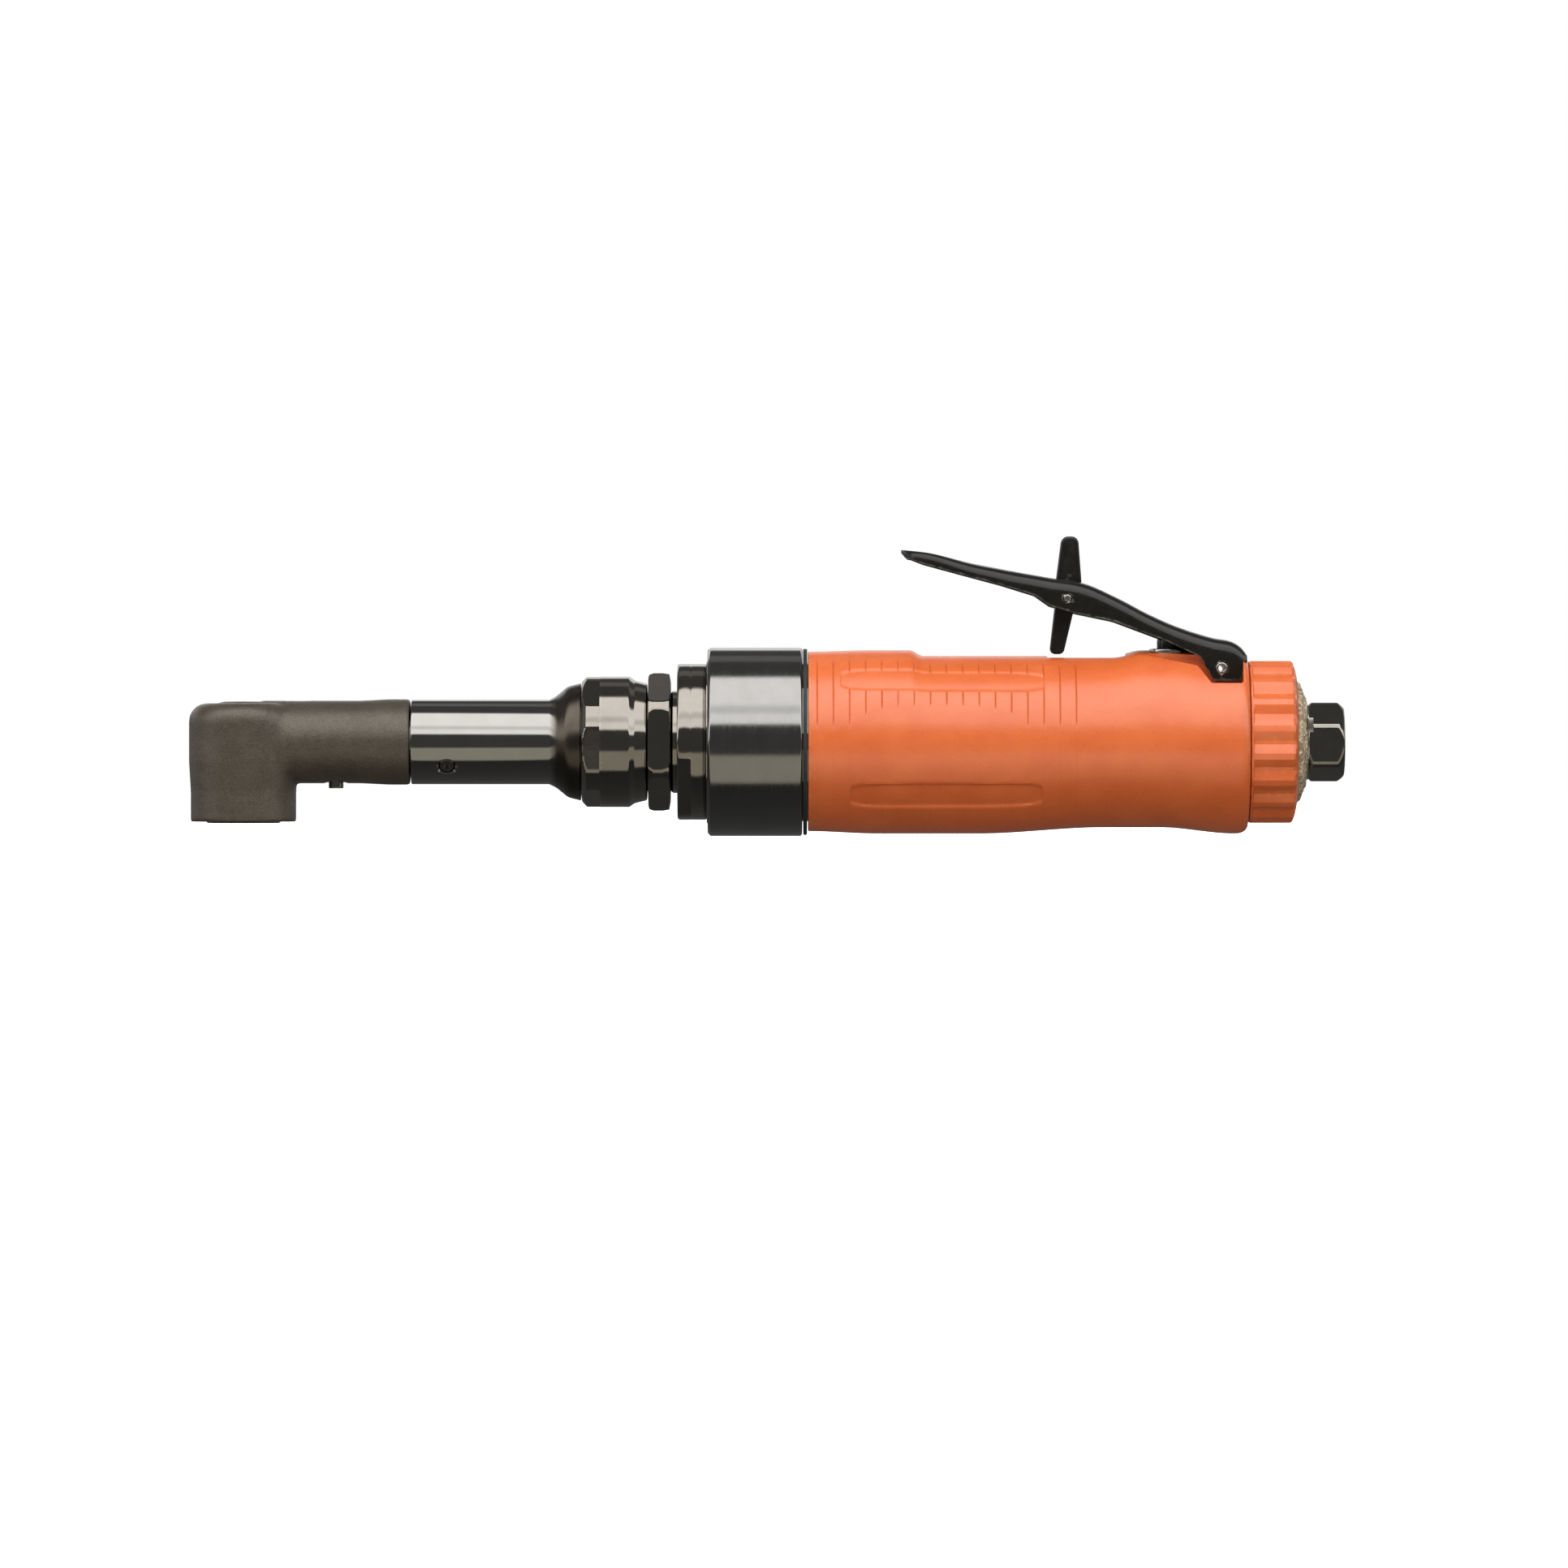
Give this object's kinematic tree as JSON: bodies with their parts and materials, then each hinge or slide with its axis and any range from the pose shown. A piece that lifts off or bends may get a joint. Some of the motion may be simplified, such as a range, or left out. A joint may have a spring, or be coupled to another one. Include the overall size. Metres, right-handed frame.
{
  "type": "right-angle air drill",
  "caption": "Lever-throttle pneumatic right-angle drill: vane motor in a composite grip, planetary reduction, extension tube and a bevel-geared 90 degree head with a threaded spindle.",
  "frame": {"origin": "centre of the bounding box at rest, 109.5 mm behind the spindle axis and 11.7 mm above the motor axis", "axes": "+X along the motor axis from the angle head to the air inlet, +Z towards the throttle lever, spindle facing -Z"},
  "size_m": [0.2418, 0.0394, 0.0628],
  "materials": {
    "cast_head": "matte cast texture",
    "polished_tube": "dark mirror polish",
    "black_oxide": "oiled black oxide",
    "satin_collar": "turned satin, darkened",
    "orange_composite": "moulded satin",
    "lever_black": "satin black coating",
    "bright_steel": "bright",
    "bearing_steel": "ground",
    "gear_steel": "machined",
    "muffler_media": "porous granular",
    "vane_phenolic": "laminated"
  },
  "bodies": {
    "tool_body": {"angle_head_housing": "cast_head", "grease_plug": "black_oxide", "upper_spindle_bearing": "bearing_steel", "lower_spindle_bearing": "bearing_steel", "spindle_retainer": "black_oxide", "pinion_front_bearing": "bearing_steel", "bearing_spacer": "gear_steel", "pinion_rear_bearing": "bearing_steel", "extension_tube": "polished_tube", "tube_set_screw": "black_oxide", "coupling_nut": "black_oxide", "lock_nut": "black_oxide", "gear_case": "black_oxide", "carrier_bearing": "bearing_steel", "housing_collar": "satin_collar", "ring_gear": "gear_steel", "motor_sleeve": "satin_collar", "front_end_plate": "cast_head", "front_rotor_bearing": "bearing_steel", "rear_end_plate": "cast_head", "rear_rotor_bearing": "bearing_steel", "cylinder_liner": "gear_steel", "grip_housing": "orange_composite", "valve_bushing": "bright_steel", "valve_spring": "bright_steel", "lever_pin": "bright_steel", "muffler_ring": "muffler_media", "tab_washer": "bright_steel", "inlet_bushing": "black_oxide", "inlet_screen": "bright_steel"},
    "motor_rotor": {"rotor": "gear_steel", "sun_gear": "gear_steel", "vane_1": "vane_phenolic", "vane_2": "vane_phenolic", "vane_3": "vane_phenolic", "vane_4": "vane_phenolic", "vane_5": "vane_phenolic"},
    "carrier_shaft": {"planet_carrier": "gear_steel", "drive_shaft": "gear_steel", "pinion_shaft": "gear_steel", "planet_pin_1": "bearing_steel", "planet_pin_2": "bearing_steel", "planet_pin_3": "bearing_steel"},
    "planet_1": {"planet_gear_1": "gear_steel"},
    "planet_2": {"planet_gear_2": "gear_steel"},
    "planet_3": {"planet_gear_3": "gear_steel"},
    "spindle": {"output_spindle": "gear_steel", "spindle_bevel_gear": "gear_steel"},
    "lever": {"throttle_lever": "lever_black", "lock_off_pin": "bright_steel", "lock_off_spring": "bright_steel"},
    "lock_off": {"lock_off_tab": "lever_black"},
    "valve_stem": {"valve_plunger": "lever_black"},
    "exhaust_deflector": {"exhaust_collar": "orange_composite"}
  },
  "joints": [
    {"name": "rotor_spin", "type": "hinge", "parent": "tool_body", "child": "motor_rotor", "pos_m": [0.0305, 0, -0.01167], "axis": [1, 0, 0], "continuous": true},
    {"name": "carrier_spin", "type": "hinge", "parent": "tool_body", "child": "carrier_shaft", "pos_m": [-0.0145, 0, -0.01167], "axis": [1, 0, 0], "continuous": true},
    {"name": "planet_1_spin", "type": "hinge", "parent": "carrier_shaft", "child": "planet_1", "pos_m": [-0.0045, 0, -0.00358], "axis": [1, 0, 0], "continuous": true},
    {"name": "planet_2_spin", "type": "hinge", "parent": "carrier_shaft", "child": "planet_2", "pos_m": [-0.0045, -0.00702, -0.01572], "axis": [1, 0, 0], "continuous": true},
    {"name": "planet_3_spin", "type": "hinge", "parent": "carrier_shaft", "child": "planet_3", "pos_m": [-0.0045, 0.00702, -0.01572], "axis": [1, 0, 0], "continuous": true},
    {"name": "spindle_spin", "type": "hinge", "parent": "tool_body", "child": "spindle", "pos_m": [-0.1095, 0, -0.01167], "axis": [0, 0, 1], "continuous": true},
    {"name": "lever_squeeze", "type": "hinge", "parent": "tool_body", "child": "lever", "pos_m": [0.0951, 0, 0.00373], "axis": [0, -1, 0], "range_deg": [0, 13], "stiffness_Nm_per_rad": 1, "springref_deg": -22.92},
    {"name": "lock_off_fold", "type": "hinge", "parent": "lever", "child": "lock_off", "pos_m": [0.0629, 0, 0.01833], "axis": [0, -1, 0], "range_deg": [0, 71.5]},
    {"name": "valve_press", "type": "slide", "parent": "tool_body", "child": "valve_stem", "axis": [0, 0, -1], "range_m": [0, 0.0026], "deforming": ["valve_spring"]},
    {"name": "exhaust_turn", "type": "hinge", "parent": "tool_body", "child": "exhaust_deflector", "pos_m": [0.1055, 0, -0.01167], "axis": [1, 0, 0], "continuous": true}
  ],
  "couplings": [
    {"joint": "carrier_spin", "follows": "rotor_spin", "ratio": 0.22222},
    {"joint": "planet_1_spin", "follows": "rotor_spin", "ratio": -0.62222},
    {"joint": "planet_2_spin", "follows": "rotor_spin", "ratio": -0.62222},
    {"joint": "planet_3_spin", "follows": "rotor_spin", "ratio": -0.62222},
    {"joint": "spindle_spin", "follows": "rotor_spin", "ratio": 0.16296},
    {"joint": "lock_off_fold", "follows": "lever_squeeze", "ratio": 5.5},
    {"joint": "valve_press", "follows": "lever_squeeze", "m_per_rad": 0.011}
  ]
}
